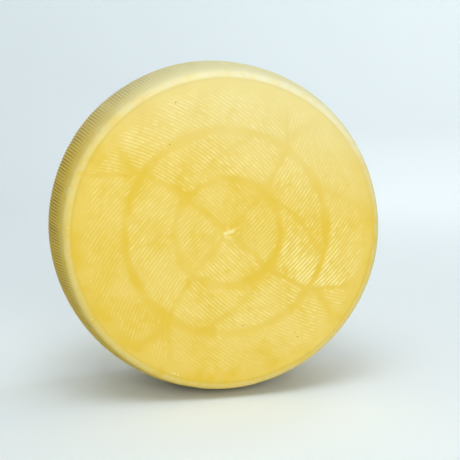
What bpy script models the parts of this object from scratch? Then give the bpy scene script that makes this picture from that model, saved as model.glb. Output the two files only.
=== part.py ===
"""A whole wheel of peppered sheep's milk cheese, standing upright on its round wall.

Metres, +Z up. The wheel's axis lies along Y, its shown face looks to -Y, and the origin is the middle of
the small flat spot that it stands on. The wheel is one solid: a barrel-shaped wall with fine ribs, rounded
corners, and two moulded faces. Each face has two ring grooves, a nub in the middle and a pinwheel of
ridged patches, four in each of its three zones.
"""
import math
from collections import namedtuple

import bmesh
import bpy
from mathutils import Vector
from mathutils.geometry import delaunay_2d_cdt

# Overall size of the wheel
WHEEL_RADIUS = 0.160
WHEEL_THICKNESS = 0.142
WALL_BULGE = 0.0123
CORNER_RADIUS = 0.0092
REST_DEPTH = 0.0012

# Ribs that the mould leaves along the wall. Each one stands for two of the real wheel's, which lie 3 mm apart
RIB_COUNT = 168
RIB_HEIGHT = 0.0006
RIB_FADE = 0.008
RIB_FREE_ANGLE = math.radians(8.0)
RIB_FULL_ANGLE = math.radians(13.0)
WALL_SEGMENTS = 4
CORNER_STEPS = 84
CORNER_SEGMENTS = 2

# Relief of the moulded faces
RIDGE_PITCH = 0.0031
RIDGE_HEIGHT = 0.0005
RIDGE_END = 0.0012
RIDGED_RADIUS = 0.133
INNER_RING_RADIUS = 0.050
OUTER_RING_RADIUS = 0.095
RING_WIDTH = 0.0045
RING_DEPTH = 0.0008
PATCH_MARGIN = 0.0012
NUB_RADIUS = 0.0026
NUB_CLEARANCE = 0.0050
NUB_STEPS = 8
QUARTERS = 4

# The lines that divide the patches, counter-clockwise from the face's own right-hand side
INNER_DIVIDE_ANGLE = math.radians(48.0)
OUTER_DIVIDE_ANGLE = math.radians(54.0)
DIVIDE_STEP = 0.012

# How finely the face's curves are cut into straight pieces
INNER_RING_STEPS = 36
OUTER_RING_STEPS = 60
RIDGE_PIECE_LENGTH = 0.060
ARC_SAMPLES = 300
REFINE_STEPS = 24
WELD_DISTANCE = 1e-6

# Colours of the rind, linear
RIND_COLOUR = (0.80, 0.66, 0.21, 1.0)
RIND_ROUGHNESS = 0.45

HALF_THICKNESS = WHEEL_THICKNESS / 2
FACE_DEPTH = HALF_THICKNESS - RIDGE_HEIGHT
AXIS_HEIGHT = WHEEL_RADIUS - REST_DEPTH
WALL_CURVE_RADIUS = HALF_THICKNESS ** 2 / (2 * WALL_BULGE)
WALL_CURVE_CENTRE = WHEEL_RADIUS - WALL_CURVE_RADIUS
DIVIDE_OFFSET = OUTER_RING_RADIUS * math.cos(OUTER_DIVIDE_ANGLE)

# One ring of points round the axis: its place along the axis, its radius, its points and its rib height
Station = namedtuple("Station", "depth radius steps rib")

# One zone of ridged patches: its radii, and its ridges' slope and bend radius on the face's right-hand side
Zone = namedtuple("Zone", "inner outer slope bend")

ZONES = (
    Zone(NUB_CLEARANCE, INNER_RING_RADIUS - RING_WIDTH / 2, math.radians(45.5), 0.420),
    Zone(INNER_RING_RADIUS + RING_WIDTH / 2, OUTER_RING_RADIUS - RING_WIDTH / 2, math.radians(50.0), 0.310),
    Zone(OUTER_RING_RADIUS + RING_WIDTH / 2, RIDGED_RADIUS, math.radians(55.0), 0.250),
)


def clear_scene():
    """Removes whatever the scene holds."""
    for item in list(bpy.context.scene.objects):
        bpy.data.objects.remove(item, do_unlink=True)


def rind_material():
    """The pale yellow, lightly oiled rind."""
    material = bpy.data.materials.new("cheese_rind")
    material.use_nodes = True
    shader = material.node_tree.nodes["Principled BSDF"]
    shader.inputs["Base Color"].default_value = RIND_COLOUR
    shader.inputs["Roughness"].default_value = RIND_ROUGHNESS
    shader.inputs["Metallic"].default_value = 0.0
    return material


def smooth_step(value):
    """A soft change from 0 to 1."""
    value = max(0.0, min(1.0, value))
    return value * value * (3 - 2 * value)


def wall_radius(depth):
    """Radius of the barrel-shaped wall at a distance along the axis from the wheel's middle."""
    return WALL_CURVE_CENTRE + math.sqrt(WALL_CURVE_RADIUS ** 2 - depth ** 2)


def corner_circle():
    """Depth and radius of the corner rounding's centre, and the turn from the face to the wall."""
    depth = FACE_DEPTH - CORNER_RADIUS
    rise = math.sqrt((WALL_CURVE_RADIUS - CORNER_RADIUS) ** 2 - depth ** 2)
    turn = math.pi / 2 - math.atan2(depth, rise)
    return depth, WALL_CURVE_CENTRE + rise, turn


def half_stations():
    """The rings of points from a face's edge to the middle of the wall."""
    depth, radius, turn = corner_circle()
    rings = []
    for index in range(CORNER_SEGMENTS + 1):
        angle = turn * index / CORNER_SEGMENTS
        ring_depth = depth + CORNER_RADIUS * math.cos(angle)
        ring_radius = radius + CORNER_RADIUS * math.sin(angle)
        rings.append(Station(ring_depth, ring_radius, CORNER_STEPS, 0.0))
    ribbed_depth = rings[-1].depth - RIB_FADE
    half_segments = WALL_SEGMENTS // 2
    for index in range(half_segments + 1):
        ring_depth = ribbed_depth * (1 - index / half_segments)
        rings.append(Station(ring_depth, wall_radius(ring_depth), 2 * RIB_COUNT, RIB_HEIGHT))
    return rings


def all_stations():
    """The rings of points from the front face's edge to the back face's edge."""
    front = half_stations()
    back = [ring._replace(depth=-ring.depth) for ring in front[:-1]]
    return front + back[::-1]


def rib_offset(index, angle, height):
    """How far a wall point stands off the plain barrel: ribs alternate, and are pressed flat underneath."""
    from_bottom = abs(math.remainder(angle + math.pi / 2, math.tau))
    spread = RIB_FULL_ANGLE - RIB_FREE_ANGLE
    fade = smooth_step((from_bottom - RIB_FREE_ANGLE) / spread)
    level = 0.0 if index % 2 else -height
    return level * fade


def add_ring(bm, station):
    """Adds one ring of points and returns them."""
    ring = []
    for index in range(station.steps):
        angle = math.tau * index / station.steps
        radius = station.radius + rib_offset(index, angle, station.rib)
        place = (radius * math.cos(angle), -station.depth, AXIS_HEIGHT + radius * math.sin(angle))
        ring.append(bm.verts.new(place))
    return ring


def join_rings(bm, first, second):
    """Skins two neighbouring rings, the first nearer the front, whose counts divide one another."""
    steps = max(len(first), len(second))
    first_skip = steps // len(first)
    second_skip = steps // len(second)
    for index in range(steps):
        after = (index + 1) % steps
        corners = [
            first[index // first_skip],
            first[(after // first_skip) % len(first)],
            second[(after // second_skip) % len(second)],
            second[index // second_skip],
        ]
        distinct = []
        for corner in corners:
            if corner not in distinct:
                distinct.append(corner)
        bm.faces.new(distinct)


def divide_angle(radius):
    """Angle of the line between two neighbouring patches at a radius on the face."""
    if radius <= INNER_RING_RADIUS:
        return INNER_DIVIDE_ANGLE
    if radius <= OUTER_RING_RADIUS:
        share = (radius - INNER_RING_RADIUS) / (OUTER_RING_RADIUS - INNER_RING_RADIUS)
        return INNER_DIVIDE_ANGLE + share * (OUTER_DIVIDE_ANGLE - INNER_DIVIDE_ANGLE)
    return math.acos(DIVIDE_OFFSET / radius)


def inside_patch(zone, point):
    """Whether a point is on the zone's patch round the face's right-hand side, clear of its edges."""
    radius = point.length
    if not zone.inner + PATCH_MARGIN < radius < zone.outer - PATCH_MARGIN:
        return False
    margin = PATCH_MARGIN / radius
    divide = divide_angle(radius)
    return divide - math.tau / QUARTERS + margin < math.atan2(point.y, point.x) < divide - margin


def ridge_centre(zone):
    """The far-off point that a patch's curved ridges all bend round."""
    middle = Vector(((zone.inner + zone.outer) / 2, 0.0))
    across = zone.slope + math.pi / 2
    return middle + zone.bend * Vector((math.cos(across), math.sin(across)))


def arc_point(centre, radius, angle):
    """A point of a ridge's arc."""
    return centre + radius * Vector((math.cos(angle), math.sin(angle)))


def patch_edge(zone, centre, radius, inside_angle, outside_angle):
    """The angle at which an arc leaves its patch, found by halving."""
    for _ in range(REFINE_STEPS):
        middle = (inside_angle + outside_angle) / 2
        if inside_patch(zone, arc_point(centre, radius, middle)):
            inside_angle = middle
        else:
            outside_angle = middle
    return inside_angle


def arc_runs(zone, centre, radius):
    """The stretches of one arc that lie on the patch, as pairs of angles."""
    heading = zone.slope - math.pi / 2
    sweep = 1.2 * zone.outer / zone.bend
    step = 2 * sweep / ARC_SAMPLES
    angles = [heading - sweep + step * index for index in range(ARC_SAMPLES + 1)]
    inside = [inside_patch(zone, arc_point(centre, radius, angle)) for angle in angles]
    runs = []
    start = None
    for index in range(1, ARC_SAMPLES + 1):
        if inside[index] and not inside[index - 1]:
            start = patch_edge(zone, centre, radius, angles[index], angles[index - 1])
        if inside[index - 1] and not inside[index] and start is not None:
            runs.append((start, patch_edge(zone, centre, radius, angles[index - 1], angles[index])))
            start = None
    return runs


def ridge_line(centre, radius, run, trim):
    """One crest or valley as a short row of points, its ends trimmed by a length."""
    start = run[0] + trim / radius
    end = run[1] - trim / radius
    length = (end - start) * radius
    if length < trim + RIDGE_PITCH / 2:
        return []
    pieces = max(1, round(length / RIDGE_PIECE_LENGTH))
    return [arc_point(centre, radius, start + (end - start) * index / pieces) for index in range(pieces + 1)]


def patch_lines(zone):
    """The crests and valleys of the patch at the face's right-hand side, each with its height."""
    centre = ridge_centre(zone)
    reach = (zone.outer - zone.inner) / 2 + zone.outer
    count = math.ceil(reach / RIDGE_PITCH)
    lines = []
    for half_pitch in range(-2 * count, 2 * count + 1):
        radius = zone.bend + half_pitch * RIDGE_PITCH / 2
        crest = half_pitch % 2 == 0
        trim = RIDGE_END if crest else 0.0
        height = RIDGE_HEIGHT if crest else 0.0
        for run in arc_runs(zone, centre, radius):
            line = ridge_line(centre, radius, run, trim)
            if line:
                lines.append((line, height))
    return lines


def turned(line, quarter):
    """A row of points turned by quarters round the face's middle."""
    angle = math.tau * quarter / QUARTERS
    cosine = math.cos(angle)
    sine = math.sin(angle)
    return [Vector((cosine * p.x - sine * p.y, sine * p.x + cosine * p.y)) for p in line]


def circle_line(radius, steps):
    """A closed row of points round the face's middle."""
    return [arc_point(Vector((0.0, 0.0)), radius, math.tau * index / steps) for index in range(steps)]


def divide_line(zone):
    """The line that parts two patches of a zone."""
    start = zone.inner + PATCH_MARGIN / 2
    end = zone.outer - PATCH_MARGIN / 2
    pieces = max(1, round((end - start) / DIVIDE_STEP))
    line = []
    for index in range(pieces + 1):
        radius = start + (end - start) * index / pieces
        line.append(arc_point(Vector((0.0, 0.0)), radius, divide_angle(radius)))
    return line


class FacePlan:
    """The points, lines and heights of one moulded face, seen from outside."""

    def __init__(self):
        self.points = []
        self.heights = []
        self.edges = []

    def add(self, line, height, closed=False):
        """Adds a row of points at one height, joined by edges."""
        first = len(self.points)
        self.points.extend(line)
        self.heights.extend([height] * len(line))
        self.edges.extend((first + index, first + index + 1) for index in range(len(line) - 1))
        if closed:
            self.edges.append((first + len(line) - 1, first))


def plan_face(edge_radius):
    """Lays out a whole face. Its edge circle comes first."""
    plan = FacePlan()
    plan.add(circle_line(edge_radius, CORNER_STEPS), 0.0, closed=True)
    for radius, steps in ((INNER_RING_RADIUS, INNER_RING_STEPS), (OUTER_RING_RADIUS, OUTER_RING_STEPS)):
        plan.add(circle_line(radius - RING_WIDTH / 2, steps), 0.0, closed=True)
        plan.add(circle_line(radius, steps), -RING_DEPTH, closed=True)
        plan.add(circle_line(radius + RING_WIDTH / 2, steps), 0.0, closed=True)
    plan.add(circle_line(NUB_RADIUS, NUB_STEPS), 0.0, closed=True)
    plan.add([Vector((0.0, 0.0))], RIDGE_HEIGHT)
    for zone in ZONES:
        lines = patch_lines(zone)
        for quarter in range(QUARTERS):
            plan.add(turned(divide_line(zone), quarter), 0.0)
            for line, height in lines:
                plan.add(turned(line, quarter), height)
    return plan


def add_face(bm, plan, edge_ring, side):
    """Builds a face from its plan. Side is 1 for the front, which looks to -Y, and -1 for the back."""
    points, _, triangles, sources, _, _ = delaunay_2d_cdt(plan.points, plan.edges, [], 0, WELD_DISTANCE)
    corners = []
    for point, source in zip(points, sources):
        if source and min(source) < CORNER_STEPS:
            index = min(source)
            opposite = (CORNER_STEPS // 2 - index) % CORNER_STEPS
            corners.append(edge_ring[index if side > 0 else opposite])
            continue
        height = max(plan.heights[index] for index in source) if source else 0.0
        depth = FACE_DEPTH + height
        corners.append(bm.verts.new((side * point.x, -side * depth, AXIS_HEIGHT + point.y)))
    for triangle in triangles:
        bm.faces.new([corners[index] for index in triangle])


def cut_rest_spot(bm):
    """Cuts the small flat spot that the wheel stands on."""
    parts = list(bm.verts) + list(bm.edges) + list(bm.faces)
    cut = bmesh.ops.bisect_plane(bm, geom=parts, plane_co=(0, 0, 0), plane_no=(0, 0, -1), clear_outer=True)
    rim = [part for part in cut["geom_cut"] if isinstance(part, bmesh.types.BMEdge)]
    bmesh.ops.contextual_create(bm, geom=rim)


def build_wheel(material):
    """The whole cheese as one closed solid."""
    bm = bmesh.new()
    rings = [add_ring(bm, station) for station in all_stations()]
    for first, second in zip(rings, rings[1:]):
        join_rings(bm, first, second)
    plan = plan_face(all_stations()[0].radius)
    add_face(bm, plan, rings[0], 1)
    add_face(bm, plan, rings[-1], -1)
    cut_rest_spot(bm)
    bmesh.ops.recalc_face_normals(bm, faces=list(bm.faces))
    mesh = bpy.data.meshes.new("cheese_wheel")
    bm.to_mesh(mesh)
    bm.free()
    mesh.materials.append(material)
    mesh.shade_smooth()
    mesh.set_sharp_from_angle(angle=math.radians(20.0))
    wheel = bpy.data.objects.new("cheese_wheel", mesh)
    bpy.context.scene.collection.objects.link(wheel)
    return wheel


def main():
    """Builds the part."""
    clear_scene()
    build_wheel(rind_material())


main()
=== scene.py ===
"""The looks of a whole wheel of peppered sheep's milk cheese, standing upright on its round wall.

Metres, +Z up. The wheel's axis lies along Y and its shown face looks to -Y. One closed rind stands for the
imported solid: a barrel-shaped wall with fine ribs, worn round corners, and two moulded faces with ring
grooves and a pinwheel of ridged patches. Pepper specks and pale flakes of curd lie on it.
"""
import logging
import math
import random
from collections.abc import Iterator
from contextlib import contextmanager
from dataclasses import dataclass, field
from enum import Enum

import bpy
import numpy as np
from mathutils import Matrix, Vector, noise
from mathutils.geometry import delaunay_2d_cdt


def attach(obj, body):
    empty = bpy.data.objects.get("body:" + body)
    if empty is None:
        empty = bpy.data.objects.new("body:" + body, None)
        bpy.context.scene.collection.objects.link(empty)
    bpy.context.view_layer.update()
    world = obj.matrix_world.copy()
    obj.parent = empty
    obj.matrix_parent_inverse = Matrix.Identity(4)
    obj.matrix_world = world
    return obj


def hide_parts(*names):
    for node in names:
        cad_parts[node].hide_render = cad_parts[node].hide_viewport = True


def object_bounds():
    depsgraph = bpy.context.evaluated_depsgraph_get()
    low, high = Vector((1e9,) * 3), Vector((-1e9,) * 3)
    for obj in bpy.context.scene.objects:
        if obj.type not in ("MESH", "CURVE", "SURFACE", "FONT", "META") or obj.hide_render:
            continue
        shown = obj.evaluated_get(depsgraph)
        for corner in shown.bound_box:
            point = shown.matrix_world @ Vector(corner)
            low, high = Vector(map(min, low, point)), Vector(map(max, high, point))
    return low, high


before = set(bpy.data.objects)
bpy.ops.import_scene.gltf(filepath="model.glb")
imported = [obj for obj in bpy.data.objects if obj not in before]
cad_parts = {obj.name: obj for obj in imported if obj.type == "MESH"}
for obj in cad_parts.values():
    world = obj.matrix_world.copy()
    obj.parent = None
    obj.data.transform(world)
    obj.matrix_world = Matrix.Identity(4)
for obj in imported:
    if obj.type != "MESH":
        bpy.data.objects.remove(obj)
CAD_LOW, CAD_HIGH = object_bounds()

CAD_NODE = "cheese_wheel"
BODY = "root"
MARKS = "rind_marks"
QUARTERS = 4
QUARTER_TURN = math.tau / QUARTERS
NOISE_REACH = 1.6

Tree = bpy.types.NodeTree
Socket = bpy.types.NodeSocket
Piece = bpy.types.Object
Values = np.ndarray
Two = tuple[float, float]
Three = tuple[float, float, float]
Four = tuple[float, float, float, float]

log = logging.getLogger("cheese_wheel")


class Side(Enum):
    """The two moulded faces of the wheel. The value is the sign of the X of a face's own right-hand side."""

    FRONT = 1
    BACK = -1

    @property
    def layer(self) -> float:
        """The number that picks this face's own unevenness."""
        return 3.0 + self.value


def linear(hex_colour: str) -> Four:
    """Turns an sRGB hex colour to linear.

    Args:
        hex_colour: six hexadecimal digits, such as "EBD05A".

    Returns:
        The linear red, green and blue, and an alpha of 1.
    """
    shares = [int(hex_colour[start:start + 2], 16) / 255 for start in (0, 2, 4)]
    red, green, blue = [s / 12.92 if s <= 0.04045 else ((s + 0.055) / 1.055) ** 2.4 for s in shares]
    return red, green, blue, 1.0


def soft_step(value: Values) -> Values:
    """A soft change from 0 to 1 as the value goes from 0 to 1."""
    held = np.clip(value, 0.0, 1.0)
    return held * held * (3 - 2 * held)


def smooth_wave(turn: Values) -> Values:
    """A wave that is 1 at no turn and 0 at half a turn."""
    return 0.5 + 0.5 * np.cos(turn)


def bell(value: Values) -> Values:
    """A smooth bump that is 1 at 0 and nearly gone at 2 on either side."""
    return np.exp(-value ** 2)


def rippled(across: Values, along: Values, layer: float) -> Values:
    """Smooth uneven values between about -1 and 1.

    Args:
        across: first coordinate of each point, in wavelengths.
        along: second coordinate of each point, in wavelengths.
        layer: picks one of many independent patterns.

    Returns:
        One value for each point.
    """
    values = [noise.noise((a, b, layer)) for a, b in zip(across.tolist(), along.tolist())]
    return NOISE_REACH * np.array(values)


def add_node(
    tree: Tree,
    kind: str,
    settings: dict[str, object] | None = None,
    links: dict[str | int, object] | None = None,
) -> bpy.types.Node:
    """Adds a shader node with its settings and links.

    Args:
        tree: the node tree that the node goes in.
        kind: the node's Blender type name.
        settings: values for the node's own properties, or for its inputs where the name or number is one.
        links: for an input's name or number, the output socket, or the number, that feeds it.

    Returns:
        The new node.
    """
    node = tree.nodes.new(kind)
    for name, value in (settings or {}).items():
        if hasattr(node, name):
            setattr(node, name, value)
        else:
            node.inputs[name].default_value = value
    for name, source in (links or {}).items():
        if isinstance(source, Socket):
            tree.links.new(source, node.inputs[name])
        else:
            node.inputs[name].default_value = source
    return node


def deselect_all() -> None:
    """Leaves edit mode and deselects every object."""
    if bpy.context.object and bpy.context.object.mode != "OBJECT":
        bpy.ops.object.mode_set(mode="OBJECT")
    bpy.ops.object.select_all(action="DESELECT")


@contextmanager
def edit_mode() -> Iterator[None]:
    """Edits the active object, with all of it selected at the start.

    Yields:
        Nothing, while the object is edited.
    """
    bpy.ops.object.mode_set(mode="EDIT")
    bpy.ops.mesh.select_all(action="SELECT")
    yield
    bpy.ops.object.mode_set(mode="OBJECT")


def make_active(piece: Piece) -> None:
    """Selects one object alone and makes it the active one.

    Args:
        piece: the object.
    """
    deselect_all()
    piece.select_set(True)
    bpy.context.view_layer.objects.active = piece


def add_object(data: bpy.types.ID) -> Piece:
    """Puts a new object with the name of its data in the scene.

    Args:
        data: the mesh, lamp or camera that the object shows.

    Returns:
        The object.
    """
    holder = bpy.data.objects.new(data.name, data)
    bpy.context.collection.objects.link(holder)
    return holder


def apply_place(piece: Piece) -> None:
    """Moves an object's place, turn and scale into its mesh."""
    make_active(piece)
    bpy.ops.object.transform_apply(location=True, rotation=True, scale=True)


def join_pieces(pieces: list[Piece], name: str) -> Piece:
    """Joins objects into the first one and names it.

    Args:
        pieces: the objects to join.
        name: the name of the joined object and its mesh.

    Returns:
        The joined object.
    """
    make_active(pieces[0])
    for piece in pieces:
        piece.select_set(True)
    bpy.ops.object.join()
    joined = bpy.context.object
    joined.name = name
    joined.data.name = name
    return joined


def report_piece(piece: Piece) -> None:
    """Logs a piece's name and triangles."""
    log.info("%s: %d triangles", piece.name, sum(len(face.vertices) - 2 for face in piece.data.polygons))


class DrawnFinish:
    """A finish whose material is drawn with nodes on the piece's own coordinates."""

    name: str

    def surface(self, tree: Tree, place: Socket) -> bpy.types.Node:
        """Adds the finish's own nodes, which follow a place, and gives back its shader."""
        raise NotImplementedError

    def make(self) -> bpy.types.Material:
        """Builds the material.

        Returns:
            The material.
        """
        material = bpy.data.materials.new(self.name)
        material.use_nodes = True
        tree = material.node_tree
        tree.nodes.clear()
        shader = self.surface(tree, add_node(tree, "ShaderNodeTexCoord").outputs["Object"])
        add_node(tree, "ShaderNodeOutputMaterial", links={"Surface": shader.outputs["BSDF"]})
        return material


@dataclass(frozen=True)
class OiledRind(DrawnFinish):
    """The natural rind of a pressed sheep's milk cheese, moulded in a ribbed plastic form, brined and oiled.

    The oil gathers in the hollows, which are satin, and the crests and corners are duller. Colour also paints
    light: the ring grooves and the bands between patches are painted deep yellow and the rib grooves dark brown
    as painted shade, the crests are painted paler as painted highlights, the worn corners paler for wear and
    for a painted highlight, and the upper part paler as a painted sheen from the light above. Light goes a
    little way into the fat below.

    Patterns have a name, the width of a blob in metres and how many finer layers they have. The skin's own
    grain, about half a millimetre, is under a pixel and is drawn at 1.1 mm. Spreads are shares of a tint: a
    name, the value that they grow with, the levels that they grow between, and how far they go. Layers are
    the tints from the bottom up: the result, what lies below, what is laid over it, and by which share.
    """

    name: str = "oiled_cheese_rind"
    tints: tuple[tuple[str, str], ...] = (
        ("hollow", "E4BF42"),
        ("body", "E9C962"),
        ("crest", "F5E292"),
        # Pale corner tint, for wear and a painted highlight; the flecks take it too.
        ("rub_and_sheen", "E5D38B"),
        ("wall", "D7B649"),
        # Dark brown of the rib grooves: painted shade.
        ("wall_hollow", "9D7828"),
        # The last four tints paint the upper part paler: a painted sheen from the light above.
        ("sheen_face_tint", "ECDC9B"),
        ("sheen_crest_tint", "F3E6AF"),
        ("sheen_corner_tint", "E9E5C3"),
        ("sheen_wall_tint", "E0DDB2"),
    )
    patterns: tuple[tuple[str, float, float], ...] = (
        ("blotch", 0.034, 3.0),
        ("mottle", 0.0085, 4.0),
        ("fleck", 0.0022, 2.0),
        ("grain", 0.0011, 3.0),
    )
    spreads: tuple[tuple[str, str, float, float, float | str], ...] = (
        # The first three spreads grow towards the top and lay the painted sheen on the upper part.
        ("top_sheen", "height", 0.185, 0.325, 1.0),
        ("top_sheen_face", "height", 0.185, 0.325, 0.78),
        ("top_sheen_wall", "height", 0.175, 0.325, 0.8),
        ("blotched", "blotch", 0.32, 0.62, 0.9),
        ("uneven_crest", "mottle", 0.10, 0.48, "on_crest"),
        ("uneven_rub_and_sheen", "mottle", 0.15, 0.55, "on_corner"),
        ("flecked", "fleck", 0.66, 0.80, 0.5),
    )
    layers: tuple[tuple[str, str, str, str], ...] = (
        ("face", "hollow", "body", "blotched"),
        ("face", "face", "hollow", "deep"),
        ("face", "face", "sheen_face_tint", "top_sheen_face"),
        ("side", "wall", "wall_hollow", "deep"),
        ("side", "side", "sheen_wall_tint", "top_sheen_wall"),
        ("skin", "face", "side", "on_wall"),
        ("ridges", "crest", "sheen_crest_tint", "top_sheen"),
        ("skin", "skin", "ridges", "uneven_crest"),
        ("corners", "rub_and_sheen", "sheen_corner_tint", "top_sheen"),
        ("skin", "skin", "corners", "uneven_rub_and_sheen"),
        ("skin", "skin", "rub_and_sheen", "flecked"),
    )
    pattern_roughness: float = 0.55
    # Way along which the painted sheen grows: up and a little to the right.
    sheen_way: Three = (0.3, 0.0, 1.0)
    hollow_roughness: float = 0.38
    crest_roughness: float = 0.50
    wall_roughness: float = 0.85
    specular: float = 0.12
    ior: float = 1.46
    scatter_weight: float = 0.12
    scatter_radius: Three = (1.0, 0.62, 0.22)
    scatter_depth: float = 0.0022
    seam_place: float = 0.0155
    seam_half_gap: float = 0.0035
    seam_width: float = 0.0009
    seam_depth: float = 0.00015
    grain_height: float = 0.00006

    def surface(self, tree: Tree, place: Socket) -> bpy.types.Node:
        """Adds the rind's nodes, which read the vertex colours named by MARKS.

        Args:
            tree: the material's node tree.
            place: the piece's coordinates.

        Returns:
            The shader.
        """
        marks = add_node(tree, "ShaderNodeAttribute", {"attribute_name": MARKS})
        split = add_node(tree, "ShaderNodeSeparateColor", links={"Color": marks.outputs["Color"]})
        height = add_node(tree, "ShaderNodeVectorMath", {"operation": "DOT_PRODUCT"}, {
            0: place, 1: self.sheen_way,
        })
        shares = {
            "height": height.outputs["Value"],
            "on_crest": split.outputs["Red"],
            "on_corner": split.outputs["Green"],
            "on_wall": split.outputs["Blue"],
            "deep": marks.outputs["Alpha"],
        }
        for name, size, detail in self.patterns:
            shares[name] = add_node(tree, "ShaderNodeTexNoise", links={
                "Vector": place, "Scale": 1 / size, "Detail": detail, "Roughness": self.pattern_roughness,
            }).outputs["Fac"]
        for name, source, low, high, most in self.spreads:
            shares[name] = add_node(tree, "ShaderNodeMapRange", {"interpolation_type": "SMOOTHSTEP"}, {
                "Value": shares[source], "From Min": low, "From Max": high, "To Max": shares.get(most, most),
            }).outputs["Result"]
        colours = {name: linear(tint) for name, tint in self.tints}
        for name, below, over, share in self.layers:
            colours[name] = add_node(tree, "ShaderNodeMix", {"data_type": "RGBA"}, {
                0: shares[share], 6: colours[below], 7: colours[over],
            }).outputs[2]
        face_roughness = add_node(tree, "ShaderNodeMapRange", links={
            "Value": shares["on_crest"], "To Min": self.hollow_roughness, "To Max": self.crest_roughness,
        })
        roughness = add_node(tree, "ShaderNodeMix", links={
            0: shares["on_wall"], 2: face_roughness.outputs["Result"], 3: self.wall_roughness,
        })
        seams = add_node(tree, "ShaderNodeBump", {"invert": True}, {
            "Distance": self.seam_depth, "Height": self.seam_lines(tree, place, shares["on_wall"]),
        })
        bump = add_node(tree, "ShaderNodeBump", links={
            "Distance": self.grain_height, "Height": shares["grain"], "Normal": seams.outputs["Normal"],
        })
        return add_node(tree, "ShaderNodeBsdfPrincipled", {
            "IOR": self.ior,
            "Specular IOR Level": self.specular,
            "Subsurface Weight": self.scatter_weight,
            "Subsurface Radius": self.scatter_radius,
            "Subsurface Scale": self.scatter_depth,
        }, {
            "Base Color": colours["skin"],
            "Roughness": roughness.outputs[0],
            "Normal": bump.outputs["Normal"],
        })

    def seam_lines(self, tree: Tree, place: Socket, on_wall: Socket) -> Socket:
        """Adds the pairs of thin lines that the form's band leaves round the wall.

        Args:
            tree: the material's node tree.
            place: the piece's coordinates.
            on_wall: the share of wall, which the lines keep to.

        Returns:
            The share of wall on the lines and 0 off them.
        """
        gap = add_node(tree, "ShaderNodeSeparateXYZ", links={"Vector": place}).outputs["Y"]
        for offset in (0.0, self.seam_place, self.seam_half_gap):
            shifted = add_node(tree, "ShaderNodeMath", {"operation": "SUBTRACT"}, {0: gap, 1: offset})
            shifted = add_node(tree, "ShaderNodeMath", {"operation": "ABSOLUTE"}, {0: shifted.outputs["Value"]})
            gap = shifted.outputs["Value"]
        line = add_node(tree, "ShaderNodeMapRange", {"interpolation_type": "SMOOTHSTEP"}, {
            "Value": gap, "From Max": self.seam_width, "To Min": on_wall, "To Max": 0.0,
        })
        return line.outputs["Result"]


@dataclass(frozen=True)
class GrainedBit(DrawnFinish):
    """The finish of a small bit: two tints that mix in fine grains, which also roughen it."""

    name: str
    low_tint: str
    high_tint: str
    roughness: float
    grain_size: float
    grain_detail: float
    grain_height: float
    scatter_weight: float = 0.0
    scatter_radius: Three = (1.0, 0.8, 0.4)
    scatter_depth: float = 0.001

    def surface(self, tree: Tree, place: Socket) -> bpy.types.Node:
        """Adds the bit's nodes.

        Args:
            tree: the material's node tree.
            place: the piece's coordinates.

        Returns:
            The shader.
        """
        grain = add_node(tree, "ShaderNodeTexNoise", links={
            "Vector": place, "Scale": 1 / self.grain_size, "Detail": self.grain_detail,
        }).outputs["Fac"]
        colour = add_node(tree, "ShaderNodeMix", {"data_type": "RGBA"}, {
            0: grain, 6: linear(self.low_tint), 7: linear(self.high_tint),
        })
        bump = add_node(tree, "ShaderNodeBump", links={"Distance": self.grain_height, "Height": grain})
        return add_node(tree, "ShaderNodeBsdfPrincipled", {
            "Roughness": self.roughness,
            "Subsurface Weight": self.scatter_weight,
            "Subsurface Radius": self.scatter_radius,
            "Subsurface Scale": self.scatter_depth,
        }, {"Base Color": colour.outputs[2], "Normal": bump.outputs["Normal"]})


@dataclass(frozen=True)
class GroundPepper(GrainedBit):
    """Cracked black peppercorn: a hard, wrinkled, matt brown-black husk over a paler core.

    Its wrinkles, about 0.3 mm apart, would not show and are drawn at 0.6 mm.
    """

    name: str = "cracked_black_pepper"
    low_tint: str = "3A2A18"
    high_tint: str = "6B5430"
    roughness: float = 0.7
    grain_size: float = 0.0006
    grain_detail: float = 2.0
    grain_height: float = 0.0001


@dataclass(frozen=True)
class DryCurd(GrainedBit):
    """Thin flakes of curd that the form left on the rind: dry, crumbly and cream-coloured.

    Their crumbs, about half a millimetre across, would not show and are drawn at 1.2 mm.
    """

    name: str = "dry_cheese_curd"
    low_tint: str = "EBDDA0"
    high_tint: str = "EFE2A6"
    roughness: float = 0.65
    grain_size: float = 0.0012
    grain_detail: float = 3.0
    grain_height: float = 0.00015
    scatter_weight: float = 0.1


@dataclass(frozen=True)
class StudioPaper:
    """Seamless photographer's background paper: matt, smooth, nearly white."""

    tone: str = "F0F7F9"
    roughness: float = 0.9

    def make(self) -> bpy.types.Material:
        """Builds the material.

        Returns:
            The paper material.
        """
        material = bpy.data.materials.new("background_paper")
        material.use_nodes = True
        shader = material.node_tree.nodes["Principled BSDF"]
        shader.inputs["Base Color"].default_value = linear(self.tone)
        shader.inputs["Roughness"].default_value = self.roughness
        return material


@dataclass(frozen=True)
class RidgeZone:
    """One ring-shaped zone of the pinwheel, seen as its patch on the face's right-hand side.

    The strengths are how plainly the ridges stand out on the right, top, left and bottom patches.
    """

    inner: float
    outer: float
    outer_fade: float
    slope: float
    bend: float
    strengths: Four
    swirl_start: float
    swirl_end: float
    swirl_wear: float
    streak_start: float = 0.0
    streak_end: float = 0.0
    streak_wear: float = 0.0

    def bend_centre(self) -> Two:
        """Finds the far-off point that the patch's curved ridges all bend round.

        Returns:
            The point's distances to the right and up.
        """
        middle = (self.inner + self.outer) / 2
        across = self.slope + math.pi / 2
        return middle + self.bend * math.cos(across), self.bend * math.sin(across)


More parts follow.
